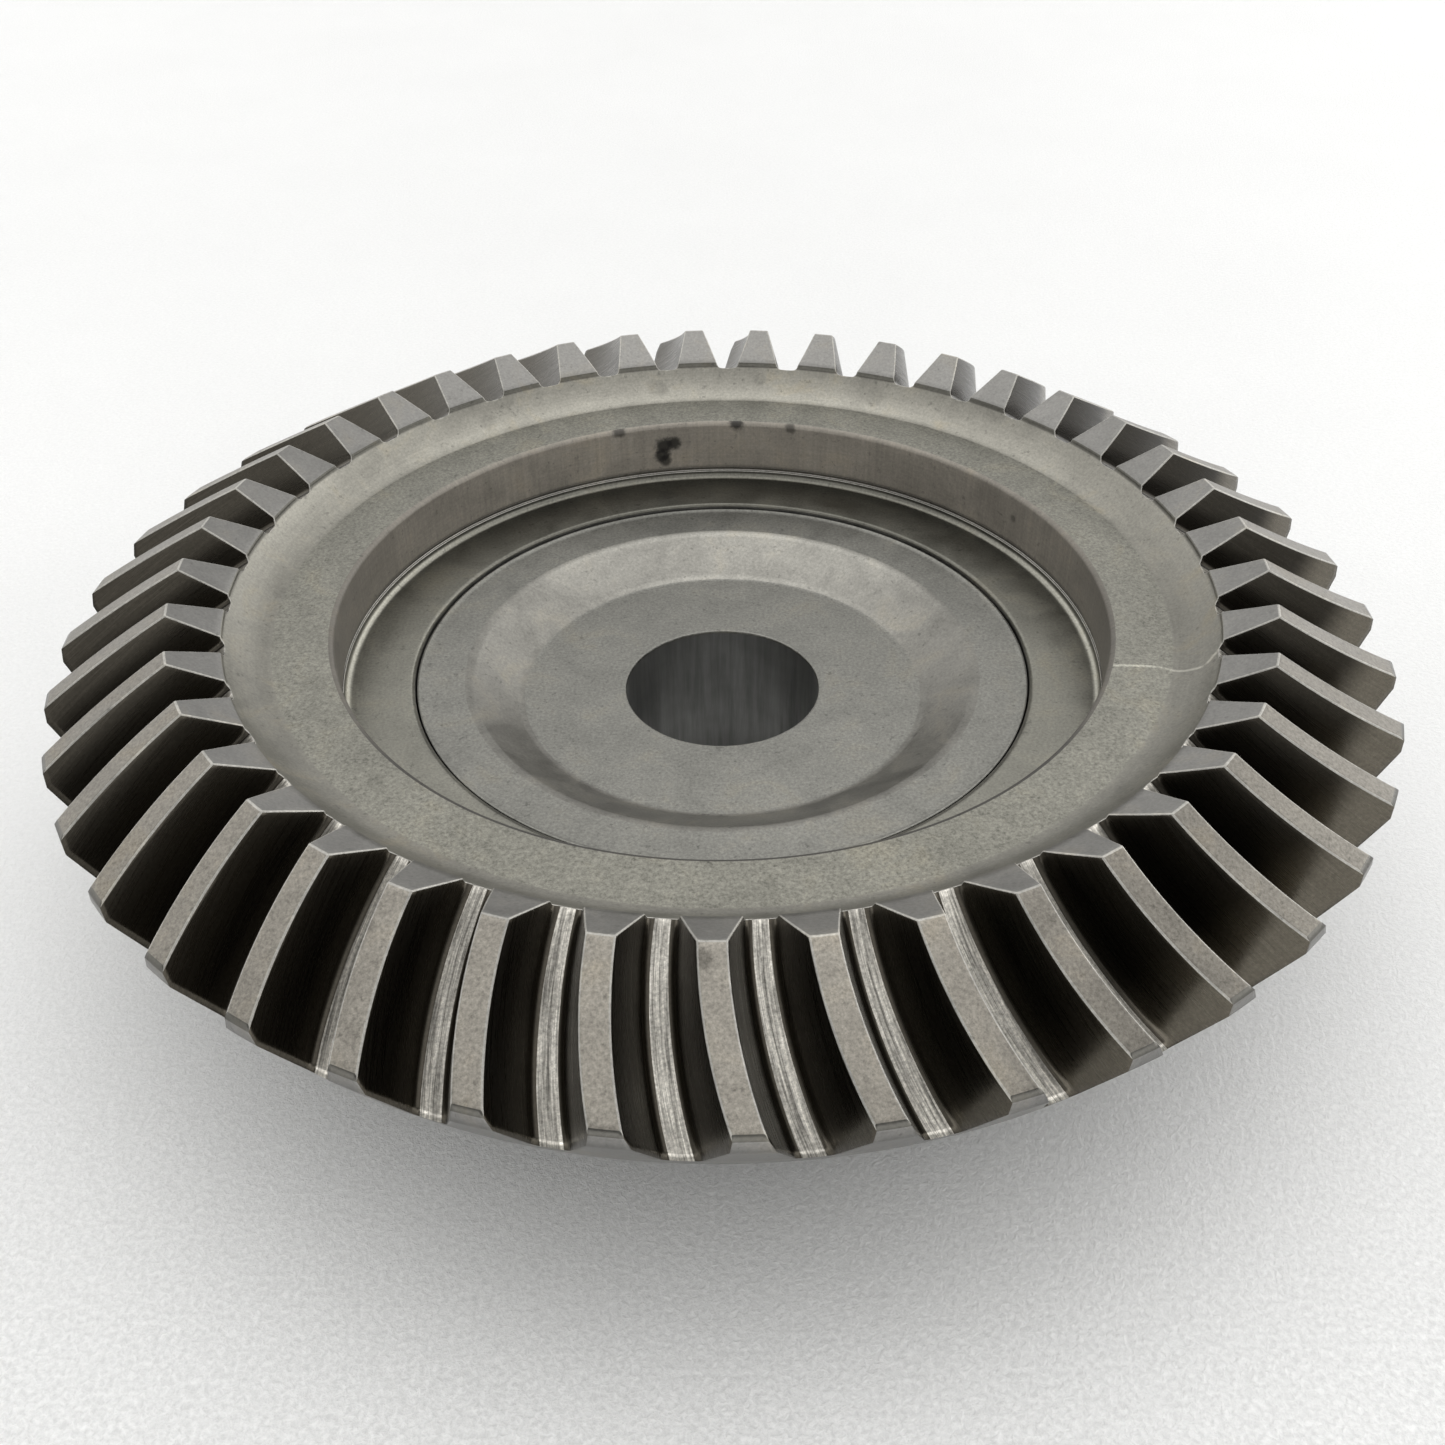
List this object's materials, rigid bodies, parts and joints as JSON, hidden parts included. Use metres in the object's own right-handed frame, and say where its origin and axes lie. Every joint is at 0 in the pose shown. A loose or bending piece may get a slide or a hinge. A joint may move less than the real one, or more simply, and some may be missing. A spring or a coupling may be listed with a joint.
{
  "type": "spiral bevel crown gear",
  "caption": "Flat wide spiral bevel gear wheel with a recessed web, dished centre and plain bore, its toothed ring screwed and pinned to a hub.",
  "frame": {"origin": "gear axis, at the rear boss face that the gear stands on", "axes": "+Z along the gear axis, out of the toothed front face; -Y is the side turned to the viewer"},
  "size_m": [0.2082, 0.2083, 0.053],
  "materials": {
    "gear_steel": "satin ground and milled, bright milled roots",
    "hub_steel": "satin turned",
    "screw_steel": "black oxide",
    "dowel_steel": "hardened and ground"
  },
  "bodies": {
    "root": {"crown_gear_ring": "gear_steel", "centre_hub": "hub_steel", "cap_screw_01": "screw_steel", "cap_screw_02": "screw_steel", "cap_screw_03": "screw_steel", "cap_screw_04": "screw_steel", "cap_screw_05": "screw_steel", "cap_screw_06": "screw_steel", "cap_screw_07": "screw_steel", "cap_screw_08": "screw_steel", "cap_screw_09": "screw_steel", "cap_screw_10": "screw_steel", "cap_screw_11": "screw_steel", "cap_screw_12": "screw_steel", "dowel_pin_1": "dowel_steel", "dowel_pin_2": "dowel_steel"}
  },
  "joints": []
}
